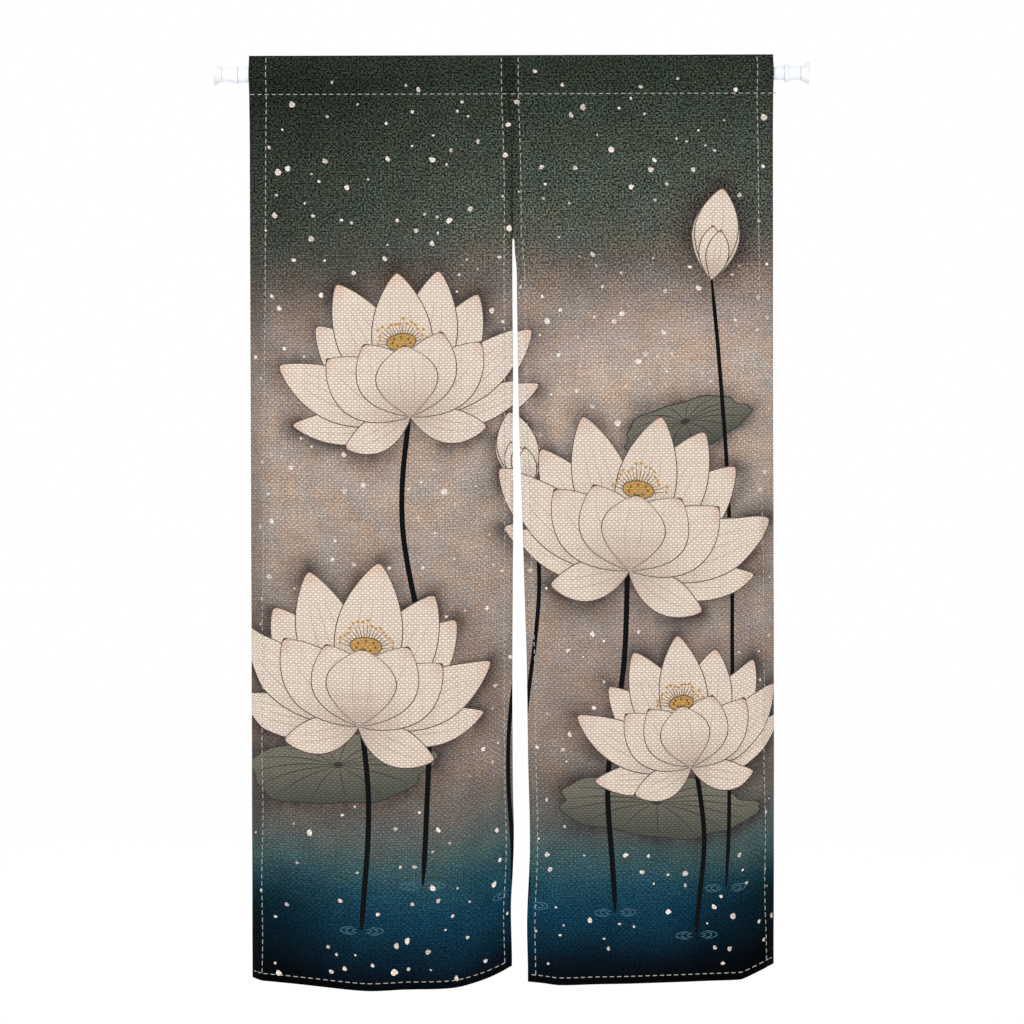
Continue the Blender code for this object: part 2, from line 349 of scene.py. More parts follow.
def hem_curl(from_edge, reach):
    """How far back an outer hem has curled, this far in from its edge."""
    return reach * np.clip(1 - from_edge / CURL_WIDTH, 0, 1) ** CURL_FORM


class Panel:
    """One panel of cloth: where each place on it hangs."""

    grid_down = np.linspace(GRID_TOP, DROP, 400)
    grid_share = np.linspace(0, 1, 161)
    section = pocket_section()

    def __init__(self, name, left, right, tables, hems, curls):
        self.name = name
        self.left_curl, self.right_curl = curls
        self.left, self.right = left, right
        self.width = right - left
        self.first = left + CLOTH_WIDTH / 2  # across of its left edge
        self.hem, self.growth, self.left_sways, self.right_sways = tables
        self.left_hem, self.right_hem = hems
        self.grid_x = self.columns_over_rows()

    def folds(self, share, down):
        """How far back the cloth lies, with soft ripples of its own."""
        fold = read_row(self.growth, down) * read_row(self.hem, share, 1)
        curl = hem_curl(share * self.width, self.left_curl)
        curl = curl + hem_curl((1 - share) * self.width, self.right_curl)
        fold = fold + read_row(CURL_GROWTH, down) * curl
        phase = 0.0 if self.name == "left" else 2.1
        hang = ramp(down, 0.15, 0.9)
        wave = np.sin(2 * np.pi * (share * 2.3 + down * 0.35) + phase)
        wave += 0.6 * np.sin(2 * np.pi * (share * 4.1 - down * 0.8) + 1.3 * phase)
        edge = np.minimum(share, 1 - share)
        flutter = np.sin(2 * np.pi * down * 4.7 + phase) * np.exp(-edge / FLUTTER_REACH)
        return fold + hang * (WAVE_DEPTH * wave + FLUTTER_DEPTH * flutter)

    def columns_over_rows(self):
        """The x of each grid column at each grid row, with the cloth's width kept."""
        down, share = self.grid_down[:, None], self.grid_share[None, :]
        back = self.folds(share, down)
        along = self.width * np.diff(share, axis=1)
        away = np.diff(back, axis=1)
        steps = np.sqrt(np.maximum(along**2 - away**2, (NARROWEST * along) ** 2))
        start = np.zeros((len(down), 1))
        places = np.concatenate((start, np.cumsum(steps, axis=1)), axis=1)
        left = self.left + sum(read_row(table, self.grid_down) for table in self.left_sways)
        right = self.right + sum(read_row(table, self.grid_down) for table in self.right_sways)
        return left[:, None] + places * ((right - left) / places[:, -1])[:, None]

    def x_at(self, share, down):
        """The x of places, read between the grid's columns and rows."""
        deep = (np.clip(down, GRID_TOP, DROP) - GRID_TOP) / (DROP - GRID_TOP)
        rows = deep * (len(self.grid_down) - 1)
        columns = np.clip(share, 0, 1) * (len(self.grid_share) - 1)
        i = np.clip(rows.astype(int), 0, len(self.grid_down) - 2)
        j = np.clip(columns.astype(int), 0, len(self.grid_share) - 2)
        a, b = rows - i, columns - j
        g = self.grid_x
        top = g[i, j] * (1 - b) + g[i, j + 1] * b
        bottom = g[i + 1, j] * (1 - b) + g[i + 1, j + 1] * b
        inside = top * (1 - a) + bottom * a
        beyond = (share - np.clip(share, 0, 1)) * self.width
        return inside + beyond + self.sewn(share, down)

    def from_join(self, share):
        return ((1 - share) if self.name == "left" else share) * self.width

    def sewn(self, share, down):
        """Brings the panels edge to edge above the slit."""
        way = 1 if self.name == "left" else -1
        closed = 1 - ramp(down, SLIT_START - SEAM_END, SLIT_START + SEAM_END)
        near = np.exp(-((self.from_join(share) / SEAM_REACH) ** 2))
        return way * SEAM_CLOSE * closed * near

    def middle(self, across, down):
        """The cloth's middle layer at places on it."""
        share = (across - self.first) / self.width
        section_down, section_y, section_z = self.section
        y = np.interp(down, section_down, section_y, right=-THICKNESS / 2)
        z = np.where(
            down < section_down[-1],
            np.interp(down, section_down, section_z),
            CREASE_Z - down,
        )
        hanging = ramp(down, STITCH_DOWN, STITCH_DOWN + FOLDS_BEGIN)
        y = y + hanging * self.folds(share, down) + self.pull(share, down)
        lift = np.clip((down - SLIT_START) / (DROP - SLIT_START), 0, None)
        z = z + lift * read_row(self.hem, share, 2)
        return np.stack((self.x_at(share, down), y, z), axis=-1)

    def pull(self, share, down):
        """The valley that the sewn join draws between the pocket's stitching and the slit."""
        joined = ramp(down, STITCH_DOWN, STITCH_DOWN + 0.02)
        joined = joined * (1 - ramp(down, SLIT_START - 0.02, SLIT_START + 0.03))
        return VALLEY_DEPTH * joined * np.exp(-self.from_join(share) / VALLEY_REACH)

    def faces_of(self, across, down):
        """The middle layer and the way out of the printed side."""
        small = 0.0004
        here = self.middle(across, down)
        along = self.middle(across + small, down) - self.middle(across - small, down)
        fall = self.middle(across, down + small) - self.middle(across, down - small)
        out = np.cross(fall, along)
        out /= np.linalg.norm(out, axis=-1, keepdims=True)
        return here, out

    def extra(self, across, down):
        """The turned cloth of the hems, on the back."""
        from_left = across - self.first
        from_right = self.width - from_left
        inside = np.minimum(
            np.minimum(from_left - self.left_hem, from_right - self.right_hem),
            DROP - down - FOOT_HEM,
        )
        hanging = down > -TURN_END + HEM_STEP
        return np.where(hanging & (inside < HEM_STEP / 2), HEM_EXTRA, 0.0)


# The printed design: painted shapes, the first at the back

CREAM = (219, 203, 188)
CREAM_SHADE = (184, 166, 152)
CREAM_TIP = (211, 182, 164)
INK = (16, 18, 19)
LINE = (92, 78, 72)
FAINT_LINE = (170, 150, 136)
OCHRE = (186, 146, 84)
OCHRE_SHADE = (128, 92, 50)
LEAF = (112, 108, 96)
LEAF_SHADE = (78, 80, 72)
LEAF_LINE = (58, 60, 55)
RIPPLE = (78, 112, 122)
SPECK = (246, 232, 222)

OUTLINE = 0.0017
VEIN = 0.0010
PETAL_FULLNESS = 1.12  # above 1, the petal is broadest past its middle
PETAL_TIP = 0.80  # below 1, its ends are blunter
TIP_MITRE = 2.2  # how much further the outline reaches at a petal's tip
CURVE_STEPS = 14  # between two points of a smooth curve
HALO_REACH = 0.021  # how far the ground darkens round a printed form


class Shape:
    """A painted area: its outline on the flat cloth, and a colour for places in it."""

    def __init__(self, outline, paint, solid=True):
        self.outline = np.asarray(outline)
        self.paint = paint
        self.solid = solid  # whether the ground darkens round it

    def holds(self, places):
        """Whether each place lies in the outline: a line from it crosses an odd number of sides."""
        low, high = self.outline.min(axis=0), self.outline.max(axis=0)
        near = np.all((places >= low) & (places <= high), axis=1)
        found = np.zeros(len(places), bool)
        x, y = places[near, 0][:, None], places[near, 1][:, None]
        ax, ay = self.outline[:, 0], self.outline[:, 1]
        bx, by = np.roll(ax, -1), np.roll(ay, -1)
        crosses = (ay > y) != (by > y)
        rise = np.where(by == ay, 1e-12, by - ay)
        hits = crosses & (x < ax + (y - ay) * (bx - ax) / rise)
        found[near] = hits.sum(axis=1) % 2 == 1
        return found


def flat_paint(colour):
    linear = np.array(from_srgb(colour))
    return lambda places: np.tile(linear, (len(places), 1))


def shaded_paint(start, direction, length, stops):
    """Colours that change along a direction: stops are (share of the length, colour)."""
    keys = [share for share, _ in stops]
    colours = np.array([from_srgb(colour) for _, colour in stops])

    def paint(places):
        along = (places - start) @ direction / length
        return np.stack([np.interp(along, keys, colours[:, c]) for c in range(3)], axis=1)

    return paint


def even_steps(path, step=LINE_STEP):
    """Points about a step apart along a path, its ends kept."""
    path = np.asarray(path)
    along = length_along(path)
    count = max(2, int(round(along[-1] / step)) + 1)
    at = np.linspace(0, along[-1], count)
    return np.stack([np.interp(at, along, path[:, c]) for c in range(2)], axis=1)


def side_ways(path):
    """The way to the left of a path at each of its points."""
    ahead = np.gradient(path, axis=0)
    ahead /= np.maximum(np.linalg.norm(ahead, axis=1, keepdims=True), 1e-9)
    return np.stack((ahead[:, 1], -ahead[:, 0]), axis=1)


def stroke(path, width, colour, taper, step=LINE_STEP):
    """A brushed line, thin at both ends. taper is the share of its length that thins."""
    path = even_steps(path, step)
    t = np.linspace(0, 1, len(path))
    ends = np.minimum(t, 1 - t) / taper
    half = width / 2 * (0.15 + 0.85 * np.sqrt(np.clip(ends, 0, 1)))
    side = side_ways(path) * half[:, None]
    outline = np.concatenate((path + side, (path - side)[::-1]))
    return Shape(outline, flat_paint(colour), False)


def turn(degrees):
    """The way that lies so many degrees clockwise from up, on the flat cloth."""
    angle = math.radians(degrees)
    return np.array((math.sin(angle), -math.cos(angle)))


def petal_form(base, degrees, length, width, bend):
    """A petal's middle line, and its half widths, from the base to the pointed tip."""
    ahead = turn(degrees)
    aside = np.array((-ahead[1], ahead[0]))
    t = np.linspace(0, 1, 41)
    middle = base + length * (t[:, None] * ahead + bend * (t**2)[:, None] * aside)
    half = width / 2 * np.sin(np.pi * t**PETAL_FULLNESS) ** PETAL_TIP
    half += width * 0.05 * (1 - t) ** 2
    return middle, half


def petal(base, degrees, length, width, bend, veins, shade):
    """The shapes of one petal: its outline, its fill and its veins."""
    middle, half = petal_form(base, degrees, length, width, bend)
    side = side_ways(middle)
    last_step = middle[-1] - middle[-2]

    def outline(grow):
        left = middle + side * (half + grow)[:, None]
        right = middle - side * (half + grow)[:, None]
        tip = middle[-1] + grow * TIP_MITRE * last_step / np.linalg.norm(last_step)
        loop = np.concatenate((left[:-1], [tip], right[:-1][::-1], left[:1]))
        return even_steps(loop)[:-1]

    base_colour = tuple(c + (s - c) * shade for c, s in zip(CREAM, CREAM_SHADE))
    stops = (
        (0.0, CREAM_SHADE),
        (0.28, base_colour),
        (0.62, CREAM),
        (0.88, CREAM),
        (1.0, CREAM_TIP),
    )
    fill = shaded_paint(np.asarray(base), turn(degrees), length, stops)
    shapes = [
        Shape(outline(OUTLINE / 2), flat_paint(LINE)),
        Shape(outline(-OUTLINE / 2), fill),
    ]
    for i in range(veins):
        place = (i + 1) / (veins + 1) * 1.5 - 0.75
        some = slice(8, 33)
        vein = middle[some] + side[some] * (half[some] * place)[:, None]
        shapes.append(stroke(vein, VEIN, FAINT_LINE, taper=0.5, step=0.008))
    return shapes


# A blossom's petals, the back ones first
BLOSSOM_BACK = (  # degrees, length, width, bend
    (-47, 0.90, 0.36, 0.10),
    (47, 0.92, 0.36, -0.10),
    (-24, 0.99, 0.38, 0.05),
    (25, 0.97, 0.38, -0.06),
    (1, 1.02, 0.40, 0.02),
)
BLOSSOM_SIDE = (
    (-98, 0.80, 0.25, 0.24),
    (97, 0.82, 0.25, -0.25),
    (-73, 0.95, 0.34, 0.20),
    (74, 0.94, 0.34, -0.18),
)
BLOSSOM_FRONT = (
    (-122, 0.50, 0.24, 0.20),
    (124, 0.52, 0.24, -0.22),
    (-58, 0.68, 0.38, 0.16),
    (60, 0.66, 0.38, -0.18),
    (-33, 0.56, 0.38, 0.06),
    (31, 0.58, 0.38, -0.07),
    (-2, 0.47, 0.42, 0.02),
)
BUD_PETALS = (
    (-13, 0.86, 0.34, 0.10),
    (14, 0.84, 0.34, -0.10),
    (0, 1.00, 0.46, 0.02),
    (-9, 0.58, 0.26, 0.10),
    (11, 0.54, 0.24, -0.10),
)
STAMEN_FAN = np.linspace(-78, 78, 17)

# The pod in the middle of a blossom, as shares of the blossom's size
POD_HEIGHT = 0.50
POD_SIZE = (0.105, 0.060)
SEED_RING = (0.062, 0.032)
SEEDS = 7


def blossom(place, size, lean, rng):
    """An open flower seen from the side. place is its foot, size its longest petal."""
    foot = np.array(place)
    shapes = []

    def row(table, veins, shade):
        for degrees, length, width, bend in table:
            angle = degrees + lean + rng.uniform(-4, 4)
            long = size * length * rng.uniform(0.95, 1.04)
            wide = size * width * rng.uniform(0.94, 1.06)
            bow = bend * rng.uniform(0.8, 1.3)
            shapes.extend(petal(foot, angle, long, wide, bow, veins, shade))

    row(BLOSSOM_BACK, 3, 0.75)
    pod = foot + turn(lean) * size * POD_HEIGHT
    for degrees in STAMEN_FAN:
        reach = size * rng.uniform(0.15, 0.20)
        root = pod - turn(lean) * size * 0.03
        end = root + turn(degrees + lean) * reach
        shapes.append(stroke((root, end), 0.0018, OCHRE_SHADE, taper=0.6, step=0.01))
        shapes.append(dot(end, 0.0034, 0.0022, degrees + lean, 6, OCHRE))
    wide, high = (size * share for share in POD_SIZE)
    shapes.append(dot(pod, wide, high, lean, 26, LINE))
    shapes.append(dot(pod, wide - OUTLINE, high - OUTLINE, lean, 26, OCHRE))
    for i in range(SEEDS):
        seed = pod + turn(360 * i / SEEDS) * np.array([size * share for share in SEED_RING])
        shapes.append(dot(seed, 0.0026, 0.0020, 90, 7, OCHRE_SHADE))
    row(BLOSSOM_SIDE, 3, 0.6)
    row(BLOSSOM_FRONT, 2, 0.45)
    return shapes


def oval(middle, reach, depth, degrees, points, wave=0.0, waves=5, phase=0.0):
    """A closed oval, long across the way that degrees gives."""
    angles = np.linspace(0, 2 * np.pi, points, endpoint=False)
    swell = 1 + wave * np.sin(waves * angles + phase) + 0.5 * wave * np.sin(2.3 * waves * angles)
    across, up = turn(degrees + 90), turn(degrees)
    flat = reach * (swell * np.cos(angles))[:, None] * across
    return np.asarray(middle) + flat + depth * (swell * np.sin(angles))[:, None] * up


def dot(middle, reach, depth, degrees, points, colour):
    """A small painted oval that the ground doesn't darken round."""
    return Shape(oval(middle, reach, depth, degrees, points), flat_paint(colour), False)


def bud(place, size, lean):
    """A closed flower."""
    foot = np.array(place)
    shapes = []
    for degrees, length, width, bend in BUD_PETALS:
        shapes.extend(petal(foot, degrees + lean, size * length, size * width, bend, 2, 0.6))
    return shapes


def stem(points, width, rng):
    """A dark stalk on a smooth curve, with short thorns."""
    path = smooth_curve(points)
    shapes = [stroke(path, width, INK, taper=0.06)]
    side = side_ways(path)
    for i in range(6, len(path) - 6, 5):
        way = side[i] * rng.choice((-1, 1))
        root = path[i]
        shapes.append(stroke((root, root + way * width * 0.85), 0.0022, INK, taper=0.7, step=0.01))
    return shapes


def smooth_curve(points):
    """A curve through the points."""
    points = [np.array(p, float) for p in points]
    ends = [2 * points[0] - points[1], *points, 2 * points[-1] - points[-2]]
    path = []
    for a, b, c, d in zip(ends, ends[1:], ends[2:], ends[3:]):
        for t in np.arange(CURVE_STEPS) / CURVE_STEPS:
            square = 2 * a - 5 * b + 4 * c - d
            cube = 3 * b - 3 * c + d - a
            path.append(0.5 * (2 * b + (c - a) * t + square * t**2 + cube * t**3))
    path.append(points[-1])
    return np.array(path)


def leaf(middle, reach, depth, degrees, phase):
    """A broad round leaf with a waved rim, seen aslant."""
    middle = np.array(middle)
    rim = oval(middle, reach, depth, degrees, 90, 0.055, 5, phase)
    inner = oval(middle, reach - 0.002, depth - 0.002, degrees, 90, 0.055, 5, phase)
    heart = middle + turn(degrees) * depth * 0.15
    stops = ((-1.0, LEAF_SHADE), (0.2, LEAF), (1.0, LEAF))
    shapes = [
        Shape(rim, flat_paint(LEAF_LINE)),
        Shape(inner, shaded_paint(heart, turn(degrees), depth, stops)),
    ]
    for i in range(15):
        end = inner[i * 6 + 2]
        bow = (heart + end) / 2 + turn(degrees) * 0.006
        vein = smooth_curve((heart, bow, heart + (end - heart) * 0.94))
        shapes.append(stroke(vein, 0.0019, LEAF_LINE, taper=0.8, step=0.010))
    shapes.append(dot(heart, 0.008, 0.005, degrees, 12, LEAF_LINE))
    return shapes


# Ripples and flecks
RIPPLE_REACH = 0.034
RIPPLE_TILT = 0.22  # depth for width, as the water is seen aslant
FLECKS = 300
FLECK_SIZES = (0.0020, 0.0024, 0.0028, 0.0035, 0.0043, 0.0051)
FLECKS_APART = 0.016


def ripples(place):
    """Short arcs where a stalk enters the water."""
    shapes = []
    for share in (0.45, 0.75, 1.0):
        for side in (-1, 1):
            angles = np.radians(np.linspace(25, 155, 24)) * side
            wide = np.sin(angles) * RIPPLE_REACH * share
            deep = -np.cos(angles) * RIPPLE_REACH * share * RIPPLE_TILT
            arc = np.array(place) + np.stack((wide, deep), axis=1)
            shapes.append(stroke(arc, 0.0015, RIPPLE, taper=0.5, step=0.003))
    return shapes


def fallen_petals(taken, rng):
    """Small pale petals and specks adrift over the ground, thicker near the top."""
    shapes, placed = [], []
    while len(placed) < FLECKS:
        across = rng.uniform(0.006, CLOTH_WIDTH - 0.006)
        down = DROP * rng.uniform(0.015, 0.99) ** 0.97
        size = rng.choice(FLECK_SIZES) * rng.uniform(0.85, 1.1)
        place = np.array((across, down))
        if any(np.hypot(*(place - other)) < FLECKS_APART for other in placed):
            continue
        around = oval(place, size * 2.2, size * 2.2, 0, 8)
        if any(shape.holds(around).any() for shape in taken):
            continue
        placed.append(place)
        dent = oval(place, size, size * rng.uniform(0.65, 0.95), rng.uniform(0, 180), 11, 0.10, 3)
        tone = rng.uniform(0.78, 1.0)
        shapes.append(Shape(dent, flat_paint(tuple(c * tone for c in SPECK)), False))
    return shapes


def lotus_pond():
    """The whole design, in flat places on the cloth: across, down."""
    rng = random.Random(11)
    leaves = leaf((0.150, 1.150), 0.150, 0.056, -6, 0.4)
    leaves += leaf((0.640, 1.215), 0.165, 0.050, 5, 1.7)
    leaves += leaf((0.700, 0.600), 0.105, 0.040, -14, 2.6)
    stems = []
    for points, width in (
        (((0.262, 0.560), (0.250, 0.760), (0.292, 1.020), (0.280, 1.335)), 0.0085),
        (((0.600, 0.800), (0.590, 0.980), (0.560, 1.180), (0.574, 1.385)), 0.0090),
        (((0.185, 1.060), (0.196, 1.200), (0.186, 1.405)), 0.0085),
        (((0.705, 1.120), (0.720, 1.270), (0.708, 1.425)), 0.0080),
        (((0.440, 0.690), (0.452, 0.860), (0.420, 1.120), (0.428, 1.375)), 0.0070),
        (((0.745, 0.355), (0.760, 0.560), (0.772, 0.900), (0.758, 1.350)), 0.0065),
    ):
        stems += stem(points, width, rng)
        stems += ripples(points[-1])
    flowers = bud((0.745, 0.365), 0.150, 7)
    flowers += blossom((0.262, 0.580), 0.235, -7, rng)
    flowers += bud((0.440, 0.700), 0.120, -10)
    flowers += blossom((0.602, 0.830), 0.255, 8, rng)
    flowers += blossom((0.182, 1.075), 0.250, 5, rng)
    flowers += blossom((0.700, 1.150), 0.205, -9, rng)
    # the order sets what lies in front
    design = leaves + stems + flowers
    return design + fallen_petals(design, rng)


# The cloth's meshes


def distance_to(targets):
    """A function that gives how far a place lies from the nearest target."""
    tree = KDTree(len(targets))
    for i, (x, y) in enumerate(targets):
        tree.insert((x, y, 0), i)
    tree.balance()
    return lambda x, y: tree.find((x, y, 0))[2]


def printed_mesh(panel, design):
    """Triangles of the flat panel that follow every printed outline: places and corners."""
    first, last = panel.first, panel.first + panel.width
    points, edges = [], []

    def add_line(line, closed=False):
        start = len(points)
        points.extend(map(tuple, line))
        edges.extend((start + i, start + i + 1) for i in range(len(line) - 1))
        if closed:
            edges.append((len(points) - 1, start))

    for shape in design:
        low, high = shape.outline.min(axis=0), shape.outline.max(axis=0)
        if high[0] < first or low[0] > last:
            continue
        add_line(shape.outline, closed=True)
    from_lines = distance_to(points)
    across = np.linspace(first, last, int(panel.width / GRID_STEP) + 1)
    add_line([(first, TURN_END), (last, TURN_END), (last, DROP), (first, DROP)], closed=True)
    pocket_rows = np.concatenate(
        (
            np.linspace(TURN_END, -CREASE_EDGE, 18)[1:],
            np.linspace(-CREASE_BAND, CREASE_BAND, 11),
            np.linspace(CREASE_EDGE, POCKET_FOOT, 20),
        )
    )
    for row in pocket_rows:
        add_line([(x, row) for x in (*across[:-1:2], last)])
    start = POCKET_FOOT + GRID_STEP
    rows = int((DROP - start) / GRID_STEP)
    for row in np.linspace(start, DROP - FOOT_HEM - CLEAR_OF_HEM, rows):
        points.extend((x, row) for x in across[1:-1] if from_lines(x, row) > CLEAR_OF_LINES)
        points.extend(((first, row), (last, row)))
    for row in (SLIT_START, SLIT_START + SLIT_MOUTH):
        points.extend(((first, row), (last, row)))
    side_rows = np.linspace(POCKET_FOOT, DROP, 120)
    for x in (
        first + panel.left_hem,
        first + panel.left_hem + HEM_STEP,
        last - panel.right_hem - HEM_STEP,
        last - panel.right_hem,
    ):
        add_line([(x, row) for row in side_rows])
    for row in (TURN_END, DROP - FOOT_HEM - HEM_STEP, DROP - FOOT_HEM, DROP):
        add_line([(x, row) for x in across])

    made = delaunay_2d_cdt([Vector(p) for p in points], edges, [], 0, 1e-6)
    places = np.array([(v.x, v.y) for v in made[0]])
    corners = np.array([f for f in made[2] if len(f) == 3])
    middles = places[corners].mean(axis=1)
    inside = (middles[:, 0] > first) & (middles[:, 0] < last)
    inside &= (middles[:, 1] > TURN_END) & (middles[:, 1] < DROP)
    corners = corners[inside]
    used, renumbered = np.unique(corners, return_inverse=True)
    return places[used], renumbered.reshape(corners.shape)


def paint_corners(places, corners, design):
    """A colour for each corner of each triangle. Its alpha is 1 on print and 0 on the ground."""
    middles = places[corners].mean(axis=1)
    colours = np.zeros((len(corners), 3, 4))
    for shape in design:
        held = np.nonzero(shape.holds(middles))[0]
        for c in range(3):
            colours[held, c, :3] = shape.paint(places[corners[held, c]])
            colours[held, c, 3] = 1.0
    return colours


def halo_of(places, design):
    """How near each place lies to a large printed form."""
    rims = [shape.outline for shape in design if shape.solid]
    from_rims = distance_to(np.concatenate(rims)[::2])
    far = np.array([from_rims(x, y) for x, y in places])
    return np.exp(-((far / HALO_REACH) ** 1.2))


def rim_of(corners):
    """The sides that only one triangle has, in that triangle's order."""
    sides = np.concatenate((corners[:, [0, 1]], corners[:, [1, 2]], corners[:, [2, 0]])).tolist()
    known = {(a, b) for a, b in sides}
    return [(a, b) for a, b in sides if (b, a) not in known]


def add_flat_places(mesh, panel, places, on_back):
    """The flat places, which the weave follows, and beside them both sides laid out apart."""
    vertex_of = np.empty(len(mesh.loops), int)
    mesh.loops.foreach_get("vertex_index", vertex_of)
    flat = places[vertex_of % len(places)]
    mesh.uv_layers.new(name="flat").data.foreach_set("uv", flat.ravel())
    mesh.uv_layers["flat"].active_render = True
    apart = np.empty_like(flat)
    tall = DROP - TURN_END + 0.004
    apart[:, 0] = (flat[:, 0] - panel.first) / tall + 0.003
    apart[:, 1] = (flat[:, 1] - TURN_END) / tall + 0.001
    apart[on_back, 0] += panel.width / tall + 0.006
    mesh.uv_layers.new(name="OFBake").data.foreach_set("uv", apart.ravel())


def build_cloth(panel, design, materials):
    """One closed sheet: the printed side, the plain side behind it and the cut edge between."""
    places, corners = printed_mesh(panel, design)
    across, down = places[:, 0], places[:, 1]
    middle, out = panel.faces_of(across, down)
    front = middle + out * THICKNESS / 2
    back = middle - out * (THICKNESS / 2 + panel.extra(across, down))[:, None]
    count, triangles = len(places), len(corners)

    shown = front[corners]
    facing = np.cross(shown[:, 1] - shown[:, 0], shown[:, 2] - shown[:, 0])
    wrong = (facing * out[corners[:, 0]]).sum(axis=1) < 0
    corners[wrong] = corners[wrong][:, ::-1]
    rim = rim_of(corners)
    faces = [tuple(c) for c in corners.tolist()]
    faces += [(c[2] + count, c[1] + count, c[0] + count) for c in corners.tolist()]
    faces += [(b, a, a + count, b + count) for a, b in rim]
    name = f"{panel.name}_cloth"
    mesh = bpy.data.meshes.new(name)
    mesh.from_pydata(np.concatenate((front, back)).tolist(), [], faces)
    mesh.polygons.foreach_set("use_smooth", [True] * len(faces))

    # the turned hems show the printed side's ground on the back
    hem_side = panel.extra(*places[corners].mean(axis=1).T) > 0
    index = np.zeros(len(faces), int)
    index[triangles : 2 * triangles] = np.where(hem_side, 0, 1)
    mesh.polygons.foreach_set("material_index", index.tolist())
    for material in materials:
        mesh.materials.append(material)

    colours = paint_corners(places, corners, design)
    reverse = colours[:, ::-1].copy()
    reverse[hem_side] = 0
    edge = np.zeros((4 * len(rim), 4))
    ink = np.concatenate((colours.reshape(-1, 4), reverse.reshape(-1, 4), edge))
    mesh.attributes.new("ink", "FLOAT_COLOR", "CORNER").data.foreach_set("color", ink.ravel())
    halo = np.tile(halo_of(places, design), 2)
    mesh.attributes.new("halo", "FLOAT", "POINT").data.foreach_set("value", halo)
    on_back = np.repeat(np.arange(len(faces)) >= triangles, [len(f) for f in faces])
    add_flat_places(mesh, panel, places, on_back)
    mesh.update()
    mesh.validate()
    return put_in_scene(name, mesh)


# Building


def put_in_scene(name, data):
    made = bpy.data.objects.new(name, data)
    bpy.context.scene.collection.objects.link(made)
    return made


def skin(mesh, rings):
    """Faces between rings of points, and one across each end."""
    for low, high in zip(rings, rings[1:]):
        for i in range(len(low)):
            n = (i + 1) % len(low)
            mesh.faces.new((low[i], low[n], high[n], high[i]))
    mesh.faces.new(rings[0])
    mesh.faces.new(rings[-1])


def finished(mesh, name, material):
    """The mesh's object, shaded smooth."""
    bmesh.ops.recalc_face_normals(mesh, faces=mesh.faces)
    data = bpy.data.meshes.new(name)
    mesh.to_mesh(data)
    mesh.free()
    data.shade_smooth()
    data.materials.append(material)
    return put_in_scene(name, data)


# Thread

STITCH_LENGTH = 0.0084
STITCH_PITCH = 0.0118
THREAD_RADIUS = 0.00055
LEFT_LINE = 0.028  # from the outer edges
RIGHT_LINE = 0.026
SLIT_LINE = 0.0134
FOOT_LINE = 0.012
STITCH_RINGS = 7
THREAD_SIDES = 6


def stitch_lines(panel):
    """Each sewn line of a panel, as the places of its two ends on the flat cloth."""
    first, last = panel.first, panel.first + panel.width
    left = LEFT_LINE if panel.name == "left" else SLIT_LINE
    right = SLIT_LINE if panel.name == "left" else RIGHT_LINE
    return (
        ((first - 0.001, STITCH_DOWN), (last + 0.001, STITCH_DOWN)),
        ((first + left, 0.003), (first + left, DROP - 0.002)),
        ((last - right, 0.003), (last - right, DROP - 0.002)),
        ((first + 0.004, DROP - FOOT_LINE), (last - 0.004, DROP - FOOT_LINE)),
    )


def build_stitching(panel, material):
    """Every stitch that shows, on both sides of the cloth, as one mesh."""
    mesh = bmesh.new()
    rng = random.Random(5)
    for start, end in stitch_lines(panel):
        start, end = np.array(start), np.array(end)
        long = np.linalg.norm(end - start)
        ahead = (end - start) / long
        level = abs(ahead[0]) > 0.5
        count = int(long / STITCH_PITCH)
        for i in range(count):
            place = start + ahead * STITCH_PITCH * (i + 0.5 + rng.uniform(-0.03, 0.03))
            add_stitch(mesh, panel, place, ahead, 1)
            if place[1] > STITCH_DOWN - 0.001:
                on_tail = level and place[1] < STITCH_DOWN + 0.001
                add_stitch(mesh, panel, place + ahead * STITCH_PITCH / 2, ahead, -1, on_tail)
    return finished(mesh, f"{panel.name}_stitching", material)


def add_stitch(mesh, panel, place, ahead, side, on_tail=False):
    """One thread loop that dips into the cloth at both ends."""
    ts = np.linspace(-1, 1, STITCH_RINGS)
    spots = place + ahead * (ts * STITCH_LENGTH / 2)[:, None]
    middle, out = panel.faces_of(spots[:, 0], spots[:, 1])
    surface = THICKNESS / 2
    if side < 0:
        surface = surface + panel.extra(spots[:, 0], spots[:, 1])
    if on_tail:
        surface = THICKNESS * 1.5 + GAP
    rise = surface + THREAD_RADIUS * (0.55 - 1.5 * np.abs(ts) ** 4)
    line = middle + out * (side * rise)[:, None]
    run = np.gradient(line, axis=0)
    run /= np.linalg.norm(run, axis=1, keepdims=True)
    across = np.cross(run, out)
    rings = []
    for k, t in enumerate(ts):
        radius = THREAD_RADIUS * (1 - 0.45 * abs(t) ** 6)
        ring = []
        for j in range(THREAD_SIDES):
            angle = 2 * math.pi * j / THREAD_SIDES
            aside = math.cos(angle) * 1.25 * across[k] + math.sin(angle) * out[k]
            ring.append(mesh.verts.new(line[k] + radius * aside))
        rings.append(ring)
    skin(mesh, rings)


# The rod and its ends


def build_turned(name, profile, material):
    """A closed body turned about the rod, from its (along, radius) section."""
    mesh = bmesh.new()
    rings = []
    for along, radius in profile:
        ring = []
        for i in range(TURNED_SIDES):
            angle = 2 * math.pi * i / TURNED_SIDES
            place = (along, radius * math.cos(angle), radius * math.sin(angle))
            ring.append(mesh.verts.new(place))
        rings.append(ring)
    skin(mesh, rings)
    piece = finished(mesh, name, material)
    piece.data.set_sharp_from_angle(angle=SHARP_EDGE)
    return piece


